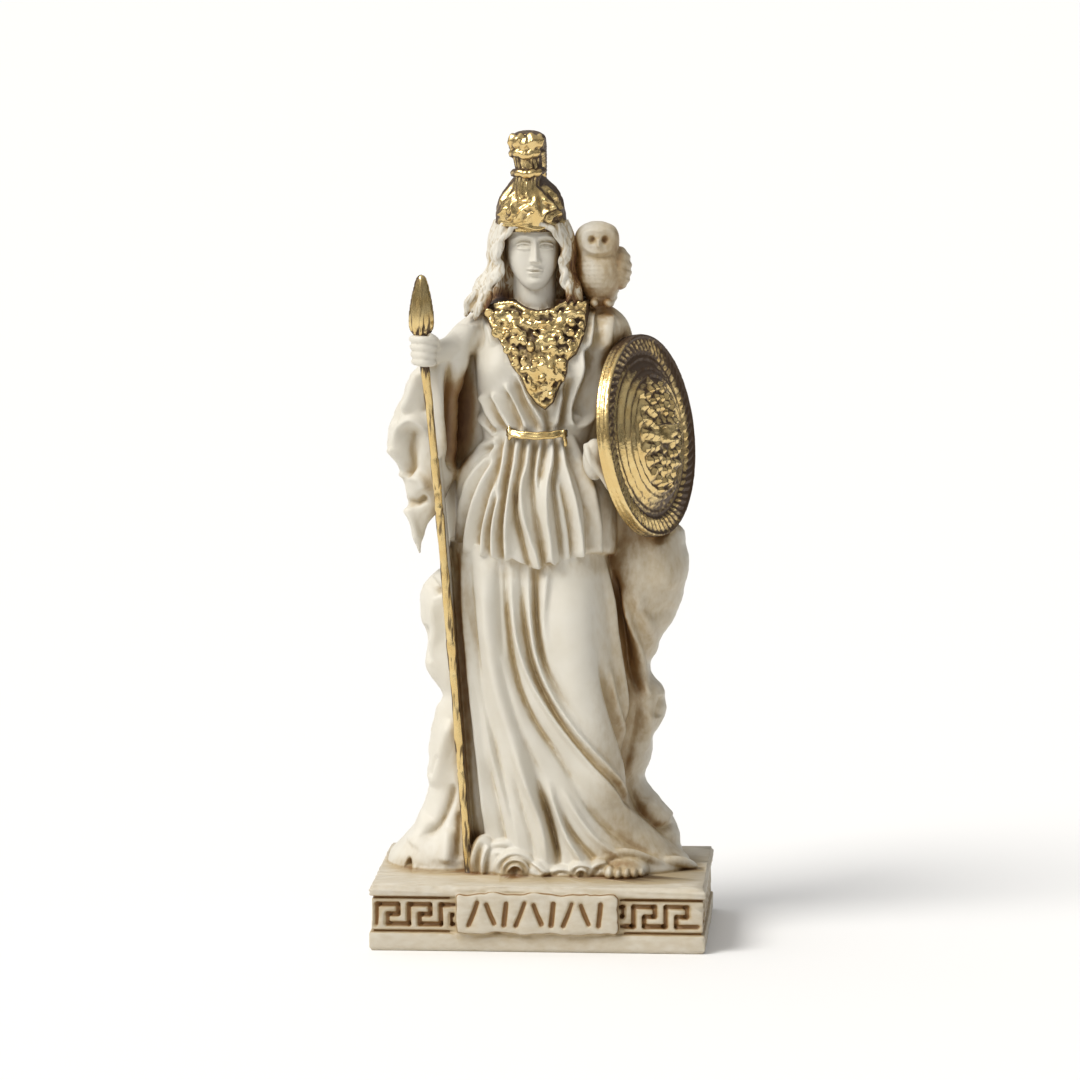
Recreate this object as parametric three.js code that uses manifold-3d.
// A goddess statuette with spear, shield and owl on a low oblong plinth, cast in one piece.
// Millimetres, +Z up, front towards -Y. The origin is the middle of the plinth's underside.
import * as THREE from "three";
import { mergeVertices } from "three/addons/utils/BufferGeometryUtils.js";
import Module from "manifold-3d";

const wasm = await Module();
wasm.setup();
const { Manifold } = wasm;

// Plinth: a foot slab, a sunk band with a key pattern, and a top slab
const plinthWidth = 36.8;
const plinthDepth = 26.6;
const footHeight = 2.0;
const footInset = 0.1;
const bandHeight = 3.5;
const bandInset = 0.25;
const jointHeight = 0.3; // the dark line above and below the band
const jointInset = 0.75;
const slabHeight = 1.1;
const plinthHeight = footHeight + bandHeight + slabHeight + 2 * jointHeight;
const keyPitch = 3.8; // one repeat of the key pattern
const keyBorder = 0.45; // plain strip of the band above and below it
const keyLine = 0.42; // width of its sunk line
const keyDepth = 0.3;
const keyMargin = 0.5; // plain end of the band at each corner

// Name tablet on the front, its edge worn ragged
const tabletWidth = 18.1;
const tabletHeight = 4.9;
const tabletProud = 0.6; // how far it stands out past the slabs
const tabletLift = 0.35; // its middle above the band's middle
const tabletWear = 0.22;
const strokeCount = 9;
const strokeLength = 2.0;
const strokeWidth = 0.36;
const strokeDepth = 0.25;

const castingDetail = 0.09; // finest relief that the casting keeps

// Figure, from the plinth's top to the crest's top. Its outlines are drawn at drawnHeight.
const figureHeight = 81.8;
const drawnHeight = 81.8;
const sunk = 0.4; // how far the hems run into the plinth

// Shield: a round bowl of a shield, turned outwards on the left arm
const shieldRadius = 11.2;
const shieldEdge = 1.3; // thickness of its rim wall
const shieldDome = 1.5; // how far its middle stands forward
const shieldRim = 1.9; // width of the flat rim
const shieldTurn = 68; // degrees from facing the front
const shieldLean = 8; // degrees that it faces upwards

// Spear: shaft, leaf blade and the thin web of the casting that backs the shaft
const spearHeight = 66.3; // of its point above the plinth
const spearGrip = 59; // height of the hand's upper edge, below which the shaft slants
const shaftRadius = 0.47;
const bladeHalfWidth = 1.45;
const webWidth = 1.2;
const webDepth = 4.5;

const degrees = THREE.MathUtils.degToRad;

// 0 at from, 1 at to, with a smooth start and end
function smooth(from, to, value) {
  const share = THREE.MathUtils.clamp((value - from) / (to - from), 0, 1);
  return share * share * (3 - 2 * share);
}

// A closed three.js geometry as a solid
function solid(geometry) {
  const plain = geometry.clone();
  plain.deleteAttribute("normal");
  plain.deleteAttribute("uv");
  const merged = mergeVertices(plain, 1e-4);
  return new Manifold(
    new wasm.Mesh({
      numProp: 3,
      vertProperties: new Float32Array(merged.attributes.position.array),
      triVerts: new Uint32Array(merged.index.array),
    }),
  );
}

function geometryOf(shape) {
  const mesh = shape.getMesh();
  return new THREE.BufferGeometry()
    .setAttribute("position", new THREE.BufferAttribute(mesh.vertProperties, 3))
    .setIndex(new THREE.BufferAttribute(mesh.triVerts, 1));
}

const joined = (shapes) => Manifold.union(shapes);

function box(width, depth, height, x, y, bottom) {
  const geometry = new THREE.BoxGeometry(width, depth, height);
  return solid(geometry.translate(x, y, bottom + height / 2));
}

function ball(x, y, height, radiusX, radiusY, radiusZ, around = 12, along = 8) {
  const geometry = new THREE.SphereGeometry(1, around, along).rotateX(Math.PI / 2);
  return solid(geometry.scale(radiusX, radiusY, radiusZ).translate(x, y, height));
}

// A table read at a row number that may lie between two rows, on a smooth curve through them
function rowAt(rows, number) {
  const first = Math.min(Math.floor(number), rows.length - 2);
  const t = number - first;
  const near = [-1, 0, 1, 2].map((n) => rows[THREE.MathUtils.clamp(first + n, 0, rows.length - 1)]);
  const [a, b, c, d] = near;
  return b.map((at, k) => {
    const slope = c[k] - a[k];
    const bend = 2 * a[k] - 5 * at + 4 * c[k] - d[k];
    const twist = 3 * (at - c[k]) + d[k] - a[k];
    return at + 0.5 * t * (slope + t * (bend + t * twist));
  });
}

// A capped cylinder with its points moved to place(angle, row, reach).
// Angle 0 faces the front, and reach runs from 0 at the axis to 1 at the wall.
function lofted(rows, around, steps, place) {
  const spans = rows.length - 1;
  const geometry = new THREE.CylinderGeometry(1, 1, 1, around, spans * steps);
  const position = geometry.attributes.position;
  for (let i = 0; i < position.count; i++) {
    const [x, y, z] = [position.getX(i), position.getY(i), position.getZ(i)];
    const row = rowAt(rows, (y + 0.5) * spans);
    position.setXYZ(i, ...place(Math.atan2(x, z), row, Math.hypot(x, z)));
  }
  return solid(geometry);
}

// Height of a cloth's folds at an angle and a height.
// A fold is [angle, half width, rise, top, bottom], angles in degrees. A sunk fold has a negative rise.
function foldAt(folds, angle, height) {
  let sum = 0;
  for (const [middle, half, rise, top, bottom] of folds) {
    const away = THREE.MathUtils.euclideanModulo(angle - middle + 180, 360) - 180;
    const fade = smooth(top, top - 2.5, height) * smooth(bottom, bottom + 2, height);
    sum += rise * fade * Math.exp(-((away / half) ** 2));
  }
  return sum;
}

// Cloth or body wrapped round an upright axis, from rows of
// [height, left, right, middle depth, depth ahead, depth behind, degrees that the front's folds turn]
function wrapped({ rows, around, steps = 1, folds = [], square = 0.9 }) {
  const rounded = (value) => Math.sign(value) * Math.abs(value) ** square;
  return lofted(rows, around, steps, (angle, row, reach) => {
    const [height, left, right, middle, ahead, behind, turn = 0] = row;
    const share = angle / Math.PI;
    const column = angle * (0.6 + 0.4 * share * share);
    const turned = column + degrees(turn) * Math.max(Math.cos(column), 0) ** 2;
    const [side, facing] = [Math.sin(turned), Math.cos(turned)];
    const lift = foldAt(folds, THREE.MathUtils.radToDeg(column), height);
    const half = (right - left) / 2;
    const x = (left + right) / 2 + reach * (rounded(side) * half + side * lift);
    const y = middle - reach * (rounded(facing) * (facing > 0 ? ahead : behind) + facing * lift);
    return [x, y, height];
  });
}

// A rod with a smooth bend, from rows of [x, y, height, half its width, half its depth].
// Its width runs along the axis named by widthAlong.
function rod(rows, around = 8, steps = 2, widthAlong = [1, 0, 0]) {
  const points = rows.map((row) => row.slice(0, 3));
  return lofted(rows.map((row, n) => [...row, n]), around, steps, (angle, row, reach) => {
    const [x, y, height, half, thick, n] = row;
    const ahead = rowAt(points, Math.min(n + 0.05, rows.length - 1));
    const behind = rowAt(points, Math.max(n - 0.05, 0));
    const along = new THREE.Vector3(...ahead).sub(new THREE.Vector3(...behind)).normalize();
    const out = new THREE.Vector3(...widthAlong).cross(along).normalize();
    const across = new THREE.Vector3().crossVectors(along, out);
    return new THREE.Vector3(x, y, height)
      .addScaledVector(across, reach * half * Math.sin(angle))
      .addScaledVector(out, reach * thick * Math.cos(angle))
      .toArray();
  });
}

// Plinth

const bandMiddle = footHeight + jointHeight + bandHeight / 2;

// The sunk line of the key pattern, as boxes in the plane of a face: [left, bottom, width, height]
function keyBoxes(length) {
  const count = Math.floor((length - 2 * keyMargin) / keyPitch);
  const start = (-count * keyPitch) / 2;
  const step = (bandHeight - 2 * keyBorder - keyLine) / 3;
  const run = (keyPitch - keyLine) / 3;
  const strokes = [
    [0, 3, 2, 3],
    [2, 3, 2, 1.5],
    [2, 1.5, 1, 1.5],
    [1, 1.5, 1, 0],
    [1, 0, 3, 0],
    [3, 0, 3, 3],
  ];
  const boxes = [];
  for (let n = 0; n < count; n++) {
    for (const [x0, z0, x1, z1] of strokes) {
      boxes.push([
        start + n * keyPitch + Math.min(x0, x1) * run,
        Math.min(z0, z1) * step,
        Math.abs(x1 - x0) * run + keyLine,
        Math.abs(z1 - z0) * step + keyLine,
      ]);
    }
  }
  return boxes;
}

// The pattern's cuts for one side of the plinth, turned about the upright axis to that side
function keyCuts(length, distance, turn) {
  const bottom = bandMiddle - bandHeight / 2 + keyBorder;
  return keyBoxes(length).map(([x, z, width, height]) => {
    const geometry = new THREE.BoxGeometry(width, 2 * keyDepth, height);
    geometry.translate(x + width / 2, -distance, bottom + z + height / 2);
    return solid(geometry.rotateZ(turn));
  });
}

// The name tablet: a worn outline with a row of slanted strokes
function tablet() {
  const points = 24;
  const middle = bandMiddle + tabletLift;
  const shape = new THREE.Shape(
    Array.from({ length: points }, (_, n) => {
      const angle = (n / points) * 2 * Math.PI;
      const [across, up] = [Math.cos(angle), Math.sin(angle)].map((v) => Math.sign(v) * Math.abs(v) ** 0.25);
      const wear = tabletWear * (1 + Math.sin(n * 2.3) * Math.cos(n * 1.1));
      return new THREE.Vector2((across * (tabletWidth - wear)) / 2, (up * (tabletHeight - wear)) / 2);
    }),
  );
  const face = -plinthDepth / 2 - tabletProud;
  const depth = tabletProud + jointInset + keyDepth;
  const slab = new THREE.ExtrudeGeometry(shape, { depth, bevelEnabled: false });
  slab.rotateX(Math.PI / 2).translate(0, face + depth, middle);
  const pitch = tabletWidth / (strokeCount + 1.5);
  const strokes = Array.from({ length: strokeCount }, (_, n) => {
    const stroke = new THREE.BoxGeometry(strokeWidth, 2 * strokeDepth, strokeLength);
    stroke.rotateY(0.32 * Math.sin(n * 2.1));
    return solid(stroke.translate((n - (strokeCount - 1) / 2) * pitch, face, middle));
  });
  return solid(slab).subtract(joined(strokes));
}

function plinth() {
  const layer = (inset, height, bottom) =>
    box(plinthWidth - 2 * inset, plinthDepth - 2 * inset, height, 0, 0, bottom);
  const body = joined([
    layer(jointInset, plinthHeight, 0),
    layer(footInset, footHeight, 0),
    layer(bandInset, bandHeight, bandMiddle - bandHeight / 2),
    layer(0, slabHeight, plinthHeight - slabHeight),
  ]);
  const [long, short] = [plinthWidth - 2 * bandInset, plinthDepth - 2 * bandInset];
  const cuts = joined([
    ...keyCuts(long, short / 2, 0),
    ...keyCuts(short, long / 2, Math.PI / 2),
    ...keyCuts(short, long / 2, -Math.PI / 2),
  ]);
  return body.subtract(cuts).add(tablet());
}

// Skirt of the gown: long folds that sweep to her left foot
const skirt = () =>
  wrapped({
    rows: [
      [-sunk, -7.5, 16.0, 1.6, 7.9, 6.8, 26],
      [0.8, -7.4, 15.9, 1.6, 7.7, 6.8, 26],
      [2.8, -7.3, 13.6, 1.4, 7.3, 6.6, 26],
      [5.2, -7.4, 10.9, 1.2, 6.9, 6.4, 25],
      [8.6, -7.6, 9.3, 1.0, 6.6, 6.2, 19],
      [11.5, -7.9, 8.6, 0.9, 6.4, 6.1, 11],
      [14.3, -8.2, 8.4, 0.8, 6.3, 6.0, 4],
      [20, -8.6, 8.9, 0.6, 6.2, 5.8, -11],
      [27.5, -8.8, 8.0, 0.5, 5.8, 5.5, -19],
      [36.5, -8.9, 6.8, 0.4, 5.2, 5.2, -26],
    ],
    around: 72,
    folds: [
      [-76, 7, -0.7, 36, 2],
      [-55, 7, 0.7, 20, -1],
      [-43, 5, -0.9, 34, 3],
      [-24, 9, 0.8, 37, 14],
      [-25, 5, -1.5, 15.5, -2],
      [-11, 6, 0.7, 15, -2],
      [0, 4.5, -1.3, 36, 4],
      [8, 4, 0.7, 36, 2],
      [15.5, 4.5, -1.0, 36, 6],
      [45, 20, 1.2, 37, 5],
      [28, 4, -0.6, 12, -2],
      [37, 5, 0.7, 12, -2],
      [48, 4, -0.7, 10, -2],
      [66, 6, -0.8, 33, 12],
    ],
  });

// Overfold: the blouse of cloth that hangs over the belt and ends in a scalloped hem
const overfold = () =>
  wrapped({
    rows: [
      [34.8, -9.3, 7.9, 0.4, 5.5, 5.4],
      [35.4, -9.7, 8.1, 0.4, 6.1, 5.8],
      [37.5, -9.8, 8.0, 0.4, 6.4, 6],
      [40.8, -10.0, 7.9, 0.4, 6.6, 6],
      [43.1, -9.7, 7.2, 0.4, 6.2, 5.8],
      [45.2, -8.8, 6.0, 0.4, 5.4, 5.2],
      [47, -7.0, 4.8, 0.5, 4.6, 4.6],
      [48.6, -6.4, 4.6, 0.6, 4.3, 4.4],
    ],
    around: 54,
    folds: [
      [-62, 6, -0.7, 46, 34],
      [-50, 5, 0.6, 48, 33],
      [-40, 4, -0.7, 48, 34],
      [-33, 4, 0.6, 48, 33],
      [-26, 3.5, -0.7, 47, 34],
      [-18, 5, 0.6, 48, 33],
      [-1, 4, -1.2, 48, 34],
      [6.5, 4, 0.6, 48, 33],
      [12, 3.5, -1.0, 48, 34],
      [18, 4, 0.7, 48, 33],
      [28, 5, 0.4, 48, 33],
      [35, 4.5, -1.0, 48, 34],
      [42, 5, 0.7, 48, 33],
      [53, 4.5, -0.7, 46, 34],
      [65, 6, 0.5, 46, 33],
    ],
  });

// Bodice and shoulders
const bodice = () =>
  wrapped({
    rows: [
      [47.4, -6.7, 4.8, 0.6, 4.1, 4.2],
      [49.5, -7.0, 5.4, 0.6, 4.3, 4.3],
      [53, -7.4, 6.8, 0.6, 4.7, 4.4],
      [56.5, -7.6, 7.6, 0.6, 4.8, 4.5],
      [59.5, -8.4, 8.8, 0.6, 4.2, 4.4],
      [61.6, -8.2, 8.6, 0.7, 3.5, 4],
      [62.9, -6.4, 6.4, 0.8, 2.8, 3.4],
      [63.5, -3.6, 2.6, 0.8, 2.2, 2.6],
    ],
    around: 40,
    folds: [
      [-32, 20, 0.9, 62, 51],
      [22, 18, 0.9, 62, 52],
      [-50, 5, -0.6, 56, 46],
      [-28, 4, -0.5, 53, 46],
      [-8, 4, -0.5, 52, 46],
      [10, 4, -0.5, 53, 46],
      [52, 7, -1.2, 60, 47],
      [36, 5, 0.5, 58, 46],
      [68, 6, 0.6, 62, 46],
    ],
    square: 0.85,
  });

const belt = () =>
  rod(
    [
      [-5.2, -2.4, 48.7, 0.35, 0.4],
      [-3.4, -4.0, 48.4, 0.45, 0.45],
      [-0.5, -4.6, 48.2, 0.45, 0.45],
      [1.9, -4.3, 48.5, 0.45, 0.45],
      [3.0, -3.8, 48.1, 0.4, 0.4],
      [3.8, -3.1, 47.4, 0.35, 0.4],
    ],
    6,
    2,
    [0, 0, 1],
  );

// Cloak behind the figure, in broad folds from the shoulders
const cloak = () =>
  wrapped({
    rows: [
      [-sunk, -14.5, 13.0, 3.0, 2.0, 7.2],
      [4, -12.8, 12.0, 2.8, 2.0, 6.8],
      [11, -11.6, 10.2, 2.6, 2.0, 6.6],
      [20, -10.6, 10.6, 2.5, 2.0, 6.3],
      [30, -10.8, 12.2, 2.4, 2.0, 6.0],
      [40, -11.2, 12.6, 2.2, 2.0, 5.6],
      [50, -10.6, 11.2, 2.0, 2.0, 5.0],
      [57, -9.4, 10.0, 1.6, 2.0, 4.6],
      [61, -8.2, 8.8, 1.3, 2.0, 3.8],
      [63.2, -5.4, 5.6, 1.2, 1.4, 2.8],
    ],
    around: 36,
    folds: [-172, -148, -126, -106, 106, 126, 148, 172].flatMap((angle) => [
      [angle, 8, -1.1, 60, -2],
      [angle + 11, 8, 0.9, 58, -2],
    ]),
    square: 0.75,
  });

// The cloak's edge that shows past the gown on her right, spread on the plinth
const rightFall = () =>
  wrapped({
    rows: [
      [-sunk, -17.7, -5, 2.6, 6.8, 6.0],
      [1.2, -17.3, -5, 2.6, 6.4, 6.0],
      [2.8, -15.9, -5, 2.5, 5.6, 5.8],
      [4.6, -14.5, -5, 2.4, 4.6, 5.5],
      [6.9, -13.5, -5, 2.3, 3.9, 5.0],
      [9.6, -13.0, -5, 2.1, 3.3, 4.6],
      [14.5, -12.9, -5, 2.0, 3.0, 4.2],
      [17.2, -12.2, -5, 1.9, 2.7, 4.0],
      [19.2, -11.5, -5, 1.8, 2.5, 3.8],
      [21.8, -13.2, -5, 1.7, 2.5, 3.6],
      [25, -13.2, -5, 1.6, 2.5, 3.6],
      [28.5, -13.8, -5, 1.5, 2.5, 3.6],
      [31.2, -13.6, -5, 1.4, 2.4, 3.4],
      [32.9, -11.8, -5, 1.4, 2.0, 3.0],
    ],
    around: 24,
    folds: [
      [-72, 9, 0.3, 20, -2],
      [-52, 8, -1.1, 30, -2],
      [-34, 8, 0.8, 33, -2],
      [-16, 7, -0.9, 30, -2],
    ],
  });

// The cloak's edge on her left: a full swag under the shield, then a ragged fall
const leftFall = () =>
  wrapped({
    rows: [
      [-sunk, 7, 15.4, 4.6, 5.0, 5.5],
      [1.6, 7, 15.1, 4.6, 4.8, 5.4],
      [4.1, 7, 14.7, 4.0, 4.5, 5.0],
      [6.8, 6, 12.6, 4.6, 4.4, 4.8],
      [9.5, 6, 10.9, 5.0, 4.4, 4.2],
      [11.6, 6, 11.6, 4.0, 4.0, 4.2],
      [13.6, 6, 11.8, 4.4, 4.4, 4.2],
      [16.6, 6, 13.3, 2.8, 3.4, 4.4],
      [19.2, 6, 13.2, 2.6, 3.2, 4.6],
      [21.7, 6, 11.5, 4.2, 4.4, 4.2],
      [24.4, 5, 12.4, 4.0, 4.4, 4.2],
      [28.0, 5, 14.4, 3.2, 4.2, 4.4],
      [32.5, 5, 15.7, 3.2, 4.4, 4.4],
      [36.8, 5, 15.4, 4.2, 4.0, 4.0],
      [39.0, 5, 13.2, 4.0, 3.2, 3.6],
      [42.0, 5, 12.0, 3.4, 2.8, 3.2],
    ],
    around: 24,
    folds: [
      [-50, 10, 0.9, 38, 18],
      [-28, 8, -0.9, 36, 18],
      [30, 9, -0.9, 21, -2],
      [52, 9, 0.8, 21, -2],
      [8, 8, 0.8, 21, -2],
    ],
    square: 1.05,
  });

// Right arm, raised to the spear, with the sleeve that falls from it
const sleeve = () =>
  wrapped({
    rows: [
      [35.0, -13.9, -13.6, -0.8, 0.2, 0.3],
      [36.9, -14.6, -13.3, -0.9, 0.8, 1.0],
      [38.6, -14.8, -12.6, -1.0, 1.1, 1.5],
      [40.6, -15.0, -11.2, -1.1, 1.5, 2.1],
      [43.6, -15.6, -9.8, -1.2, 1.8, 2.5],
      [45.4, -16.4, -9.6, -1.3, 2.0, 2.8],
      [47.2, -17.3, -9.6, -1.4, 2.1, 3.0],
      [50.2, -16.7, -9.4, -1.5, 2.2, 3.2],
      [53.2, -15.5, -9.0, -1.7, 2.3, 3.2],
      [55.6, -14.0, -8.4, -1.9, 2.3, 3.0],
      [58.2, -11.4, -7.8, -1.6, 1.9, 2.6],
      [60.4, -9.4, -7.2, -1.0, 1.4, 2.2],
    ],
    around: 24,
    folds: [
      [-42, 11, -1.0, 56, 38],
      [-12, 10, 0.7, 56, 37],
      [16, 11, -1.1, 57, 42],
      [150, 16, -0.8, 56, 38],
      [-150, 16, 0.7, 56, 38],
    ],
    square: 0.8,
  });

const rightArm = () =>
  rod(
    [
      [-6.4, 0.9, 60.2, 2.0, 2.2],
      [-8.4, -0.4, 58.9, 1.9, 2.0],
      [-10.2, -2.8, 57.9, 1.35, 1.4],
      [-12.2, -4.8, 57.6, 1.15, 1.15],
    ],
    10,
  );

// Fist round the shaft, with four fingers one above another
const fist = () =>
  joined([
    ball(-12.7, -5.5, 57.8, 1.75, 1.3, 2.0, 10, 6),
    ...[1.45, 0.5, -0.45, -1.35].map((rise, n) => {
      const finger = new THREE.CapsuleGeometry(0.52, 2.4 - 0.2 * n, 1, 6).rotateZ(Math.PI / 2);
      return solid(finger.translate(-12.8, -6.4, 57.8 + rise));
    }),
  ]);

// Left arm: bent behind the shield, with the hand at its near edge
const leftArm = () =>
  joined([
    rod(
      [
        [6.8, 1.4, 60.4, 1.9, 2.2],
        [7.9, 2.0, 57.0, 1.9, 2.3],
        [8.6, 2.4, 52.0, 1.9, 2.2],
        [8.8, 2.0, 47.0, 1.7, 1.8],
      ],
      10,
    ),
    rod(
      [
        [9.0, 1.6, 47.2, 1.7, 1.7],
        [8.0, -1.6, 46.8, 1.5, 1.5],
        [6.6, -3.8, 46.2, 1.2, 1.2],
      ],
      8,
      1,
    ),
    ball(5.8, -4.6, 46.0, 1.35, 1.2, 2.3, 10, 8),
  ]);

// Spear

// Middle of the shaft at a height, [x, y]
function spearAt(height) {
  const share = Math.max(0, 1 - height / spearGrip);
  return [-13.05 + 5 * share ** 0.85, -6.3 + 1.7 * share];
}

function spear() {
  const rows = (table, depthShare, back = 0) =>
    table.map(([height, half]) => {
      const [x, y] = spearAt(height);
      return [x, y + back, height, half, half * depthShare];
    });
  const blade = [
    [59.6, 0.8],
    [60.3, bladeHalfWidth * 0.95],
    [61.2, bladeHalfWidth],
    [62.8, bladeHalfWidth * 0.86],
    [64.4, bladeHalfWidth * 0.69],
    [65.6, bladeHalfWidth * 0.48],
    [spearHeight, 0.15],
  ];
  const shaft = [-sunk, 0.3, 8, 16, 24, 32, 40, 48, 54, 61].map((height) => [height, shaftRadius]);
  const web = [-sunk, 6, 16, 26, 36, 46].map((height) => [height, webWidth / 2]);
  return joined([
    rod(rows(blade, 0.6), 8, 1),
    rod(rows(shaft, 1), 6, 1),
    rod(rows(web, webDepth / webWidth, webDepth / 2), 5, 1),
  ]);
}

// Neck, head and helmet

function head() {
  const face = new THREE.SphereGeometry(1, 14, 10).rotateX(Math.PI / 2);
  const position = face.attributes.position;
  for (let i = 0; i < position.count; i++) {
    const [x, y, z] = [position.getX(i), position.getY(i), position.getZ(i)];
    const narrow = 1 - 0.25 * smooth(0.1, -1, z);
    position.setXYZ(i, -1.15 + 3.15 * narrow * x, 0.5 + 3.9 * narrow * y, 69.7 + 5.1 * z);
  }
  const nose = new THREE.ConeGeometry(0.55, 2.2, 4, 1).rotateX(Math.PI / 2 - 0.14);
  return joined([
    solid(face),
    solid(nose.translate(-0.95, -3.25, 68.5)),
    ball(-0.95, -3.05, 66.6, 0.75, 0.5, 0.4, 8, 4),
    rod([[-0.9, 1.2, 60.6, 2.9, 2.6], [-1.0, 1.0, 62.8, 2.1, 2.2], [-1.1, 0.9, 66.4, 2.1, 2.3]], 12, 2),
  ]);
}

const hair = () =>
  joined([
    wrapped({
      rows: [
        [56, -3.0, 0.6, 4.8, 1.0, 1.0],
        [59, -5.6, 3.4, 4.0, 1.8, 2.2],
        [62, -6.6, 4.2, 3.0, 2.4, 3.0],
        [66, -5.7, 3.2, 2.2, 2.2, 3.6],
        [71.5, -5.3, 2.2, 1.4, 2.4, 3.8],
      ],
      around: 22,
      folds: [-160, -130, -100, 180, 100, 130, 160].flatMap((angle) => [
        [angle, 6, -0.6, 71, 54],
        [angle + 14, 8, 0.5, 71, 54],
      ]),
    }),
    ...[
      [[-4.2, -1.4, 71.8, 0.9, 1.1], [-4.8, -1.8, 69.4, 1.0, 1.1], [-4.4, -2.2, 67.0, 0.9, 1.0],
        [-5.2, -2.6, 65.0, 0.95, 1.0], [-6.4, -2.7, 63.6, 0.85, 0.8], [-7.4, -2.5, 62.4, 0.4, 0.5]],
      [[-4.9, 0.4, 71.4, 1.1, 1.4], [-5.2, 0.1, 68.8, 1.1, 1.4], [-5.1, -0.5, 66.4, 1.1, 1.3],
        [-6.7, -0.9, 64.4, 1.1, 1.3], [-7.9, -1.1, 62.8, 1.0, 1.1], [-8.4, -1.0, 61.0, 0.5, 0.6]],
      [[1.6, -1.4, 71.9, 0.8, 1.1], [2.4, -1.8, 69.4, 0.9, 1.1], [2.1, -2.2, 67.0, 0.8, 1.0],
        [2.4, -2.6, 65.0, 0.9, 1.0], [3.3, -2.7, 63.6, 0.8, 0.8], [4.0, -2.5, 62.4, 0.4, 0.5]],
      [[1.9, 0.4, 71.4, 1.1, 1.4], [2.4, 0.1, 68.8, 1.1, 1.4], [2.7, -0.4, 66.4, 1.1, 1.3],
        [3.4, -0.9, 64.6, 1.1, 1.3], [4.3, -1.1, 63.0, 0.9, 1.1], [4.7, -1.0, 61.4, 0.5, 0.6]],
    ].map((lock) => rod(lock, 7, 1)),
  ]);

// Rows of the helmet's bowl, let out by a distance
const domeRows = (out) =>
  [
    [70.7, -5.5, 2.3, 0.6, 3.9, 4.4],
    [71.8, -5.8, 2.5, 0.6, 4.2, 4.8],
    [73.2, -5.75, 2.35, 0.6, 4.3, 5.0],
    [74.4, -5.45, 2.05, 0.6, 4.0, 4.8],
    [75.5, -4.8, 1.4, 0.7, 3.3, 4.2],
    [76.6, -3.2, -0.2, 0.8, 1.9, 2.6],
    [77.0, -2.4, -1.0, 0.8, 0.9, 1.2],
  ].map(([height, left, right, middle, ahead, behind]) => {
    return [height, left - out, right + out, middle, ahead + out, behind + out];
  });

// Whatever of a shape lies behind an outline drawn on the front, [x, height]
function behindOutline(shape, outline) {
  const drawn = new THREE.Shape(outline.map(([x, z]) => new THREE.Vector2(x, z)));
  const prism = new THREE.ExtrudeGeometry(drawn, { depth: 10, bevelEnabled: false }).rotateX(Math.PI / 2);
  return shape.intersect(solid(prism));
}

const helmet = () =>
  joined([
    wrapped({ rows: domeRows(0), around: 20, square: 1 }),
    behindOutline(wrapped({ rows: domeRows(0.4), around: 20, square: 1 }), [
      [-5.9, 71.4], [-3.2, 71.1], [-0.9, 70.8], [1.0, 71.0], [2.9, 71.6],
      [2.5, 73.4], [0.6, 74.7], [-1.5, 76.0], [-3.6, 74.9], [-5.9, 73.2],
    ]),
    ball(-1.6, 3.0, 70.0, 3.7, 2.6, 2.8, 12, 6),
    rod([[-1.95, -0.4, 75.0, 2.2, 3.6], [-2.0, -0.8, 77.0, 1.9, 2.9], [-1.9, -0.8, 80.6, 2.0, 2.3]], 10, 1),
    rod(
      [
        [-1.9, -3.1, 79.4, 1.6, 0.6],
        [-1.9, -3.0, 80.5, 2.35, 0.9],
        [-1.9, -1.4, 80.9, 2.3, 0.85],
        [-1.85, 1.4, 80.7, 2.1, 1.0],
        [-1.8, 4.2, 79.4, 1.8, 1.2],
        [-1.7, 6.2, 76.4, 1.6, 1.2],
        [-1.6, 6.7, 73.0, 1.4, 1.1],
        [-1.5, 6.0, 69.4, 0.9, 0.7],
      ],
      10,
      1,
    ),
    ball(-1.85, 2.8, 76.8, 0.7, 3.6, 4.0, 8, 6),
  ]);

// Breastplate: a scaled goatskin with a pointed lower end, standing a little off the bodice
function aegis() {
  const raised = wrapped({
    rows: [
      [51, -7.8, 6.7, 0.6, 5.3, 4],
      [53, -7.8, 7.2, 0.6, 5.7, 4],
      [56.5, -8.0, 8.0, 0.6, 6.0, 4],
      [59.5, -9.0, 9.4, 0.6, 5.2, 4],
      [61.6, -8.8, 9.2, 0.7, 4.3, 4],
      [63.0, -6.8, 6.8, 0.8, 3.4, 3],
    ],
    around: 26,
    square: 0.85,
  });
  const knobs = [];
  for (let row = 0; row < 5; row++) {
    const height = 60.4 - 1.7 * row;
    for (let n = 0; n < 6 - row; n++) {
      const x = -0.7 + 0.18 * row + (n - (5 - row) / 2) * 1.5;
      const y = -5.2 + 1.1 * smooth(56, 62, height) + 0.06 * x * x;
      knobs.push(ball(x, y, height, 0.75, 0.55, 0.75, 5, 4));
    }
  }
  return joined([
    behindOutline(raised, [
      [-6.4, 61.8], [-5.0, 59.0], [-4.4, 57.0], [-2.7, 55.2], [-2.0, 53.2], [0.1, 51.7], [1.8, 53.4],
      [2.8, 55.4], [3.2, 57.6], [4.2, 58.6], [4.8, 62.2], [2.2, 62.8], [-0.8, 62.0], [-3.6, 62.8],
    ]),
    ...knobs,
  ]);
}

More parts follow.
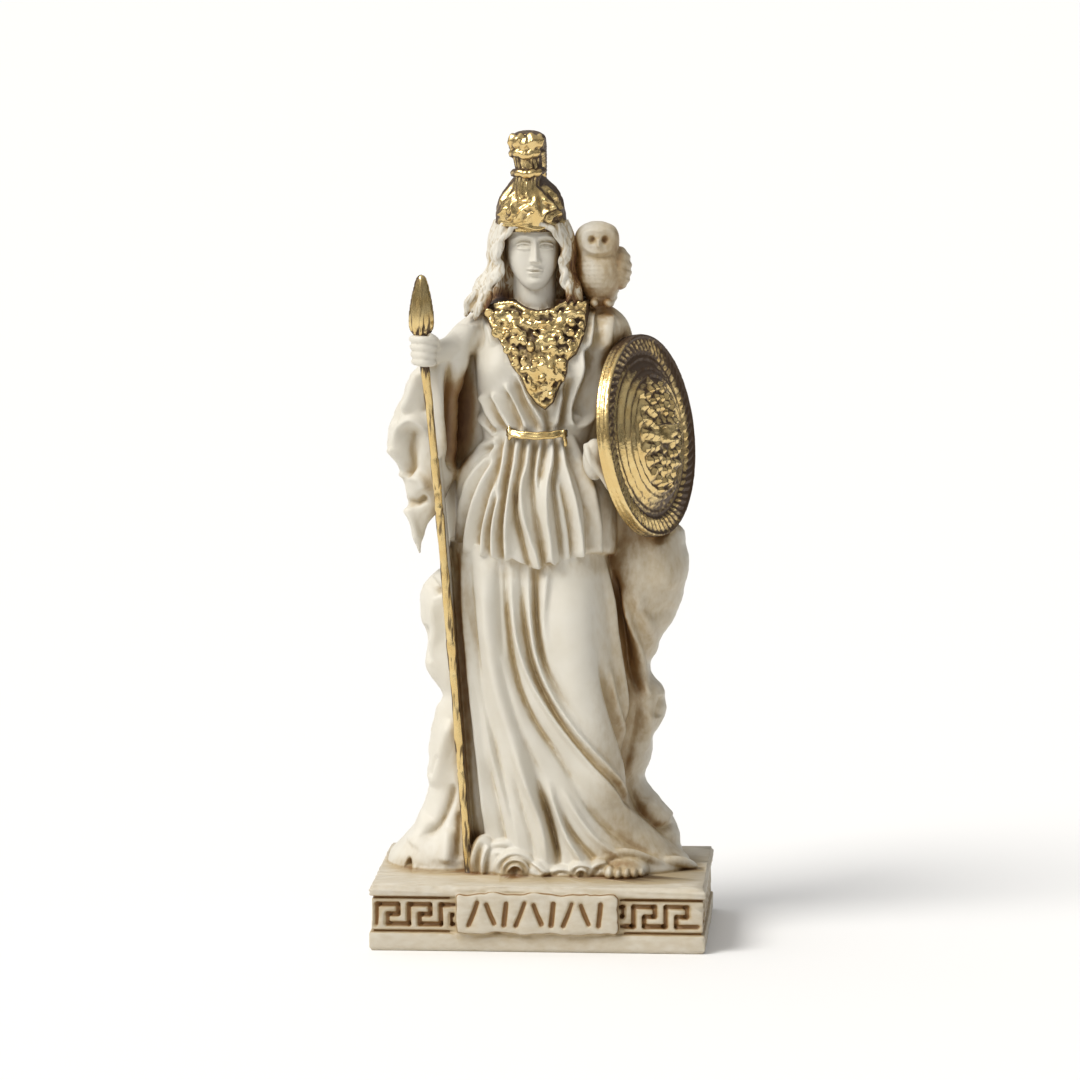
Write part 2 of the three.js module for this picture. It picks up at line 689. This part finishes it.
// Owl on her left shoulder
const owl = () =>
  joined([
    ball(5.7, 0.3, 69.75, 2.45, 2.1, 2.3, 12, 7),
    ball(6.2, 0.9, 66.5, 2.5, 2.3, 3.7, 12, 7),
    ball(7.95, 1.2, 66.5, 1.6, 2.0, 2.5, 8, 6),
    ball(4.5, 1.4, 66.7, 1.4, 2.0, 2.9, 8, 6),
    ball(6.4, 3.2, 64.6, 1.6, 1.9, 2.8, 8, 6),
    ball(5.1, -1.6, 69.9, 0.55, 0.35, 0.55, 6, 4),
    ball(6.6, -1.6, 69.9, 0.55, 0.35, 0.55, 6, 4),
    solid(new THREE.ConeGeometry(0.35, 1.2, 4).rotateX(-Math.PI / 2).translate(5.85, -1.9, 69.1)),
  ]);

// Shield, drawn with its face up along Y and then turned into place
function shield() {
  const flat = shieldRadius - shieldRim;
  const profile = [
    [0, -shieldEdge],
    [shieldRadius - 0.3, -shieldEdge],
    [shieldRadius, -shieldEdge + 0.3],
    [shieldRadius, 0],
    [flat, 0],
    [flat - 0.5, -0.35],
    [flat * 0.72, shieldDome * 0.5],
    [flat * 0.4, shieldDome * 0.85],
    [0, shieldDome],
  ];
  const disc = new THREE.LatheGeometry(profile.map(([r, z]) => new THREE.Vector2(r, z)), 32);
  const relief = [[0, 0.3, 2.6, 1.7], [0, -3.0, 1.7, 1.3], [-2.4, -2.2, 1.4, 1.2], [2.4, -2.2, 1.4, 1.2]];
  for (let n = 0; n < 7; n++) {
    const angle = degrees(-30 + 40 * n);
    relief.push([3.7 * Math.cos(angle), 4.0 * Math.sin(angle) + 0.3, 1.3, 1.2]);
  }
  const knobs = relief.map(([x, up, radius, rise]) => {
    const knob = new THREE.SphereGeometry(1, 6, 5).scale(radius, rise, radius);
    return solid(knob.translate(x, shieldDome * 0.6, -up));
  });
  const place = new THREE.Matrix4()
    .makeTranslation(11.7, 0.4, 48.15)
    .multiply(new THREE.Matrix4().makeRotationZ(degrees(shieldTurn)))
    .multiply(new THREE.Matrix4().makeRotationX(degrees(180 - shieldLean)));
  return solid(geometryOf(joined([solid(disc), ...knobs])).applyMatrix4(place));
}

// Rolled hem ends and the toes on the plinth's top
const hemAndToes = () =>
  joined([
    ball(-1.6, -5.9, 0.8, 2.2, 1.2, 1.5, 8, 5),
    ball(-5.4, -5.2, 0.7, 1.6, 1.2, 1.5, 8, 5),
    ball(8.6, -6.0, 0.5, 1.0, 1.6, 0.8, 7, 5),
    ball(10.0, -5.7, 0.5, 0.9, 1.5, 0.8, 7, 5),
    ball(11.2, -5.2, 0.5, 0.8, 1.4, 0.7, 7, 5),
    ball(4.6, -5.8, 0.4, 1.8, 1.2, 1.0, 7, 5),
  ]);

function figure() {
  const all = joined([
    skirt(),
    overfold(),
    bodice(),
    belt(),
    cloak(),
    rightFall(),
    leftFall(),
    sleeve(),
    rightArm(),
    fist(),
    leftArm(),
    spear(),
    head(),
    hair(),
    helmet(),
    aegis(),
    owl(),
    shield(),
    hemAndToes(),
  ]);
  const scale = figureHeight / drawnHeight;
  return solid(geometryOf(all).scale(scale, scale, scale).translate(0, 0, plinthHeight));
}

const castResin = new THREE.MeshStandardMaterial({ color: 0xe3dccb, roughness: 0.5, metalness: 0 });
// The casting is solid, so any void shut in between its features is filled
const shells = plinth().add(figure()).simplify(castingDetail).decompose();
const [cast] = shells.sort((a, b) => b.volume() - a.volume());
const statuette = new THREE.Mesh(geometryOf(cast), castResin);
statuette.name = "statuette";

const part = new THREE.Group();
part.add(statuette);
export default part;
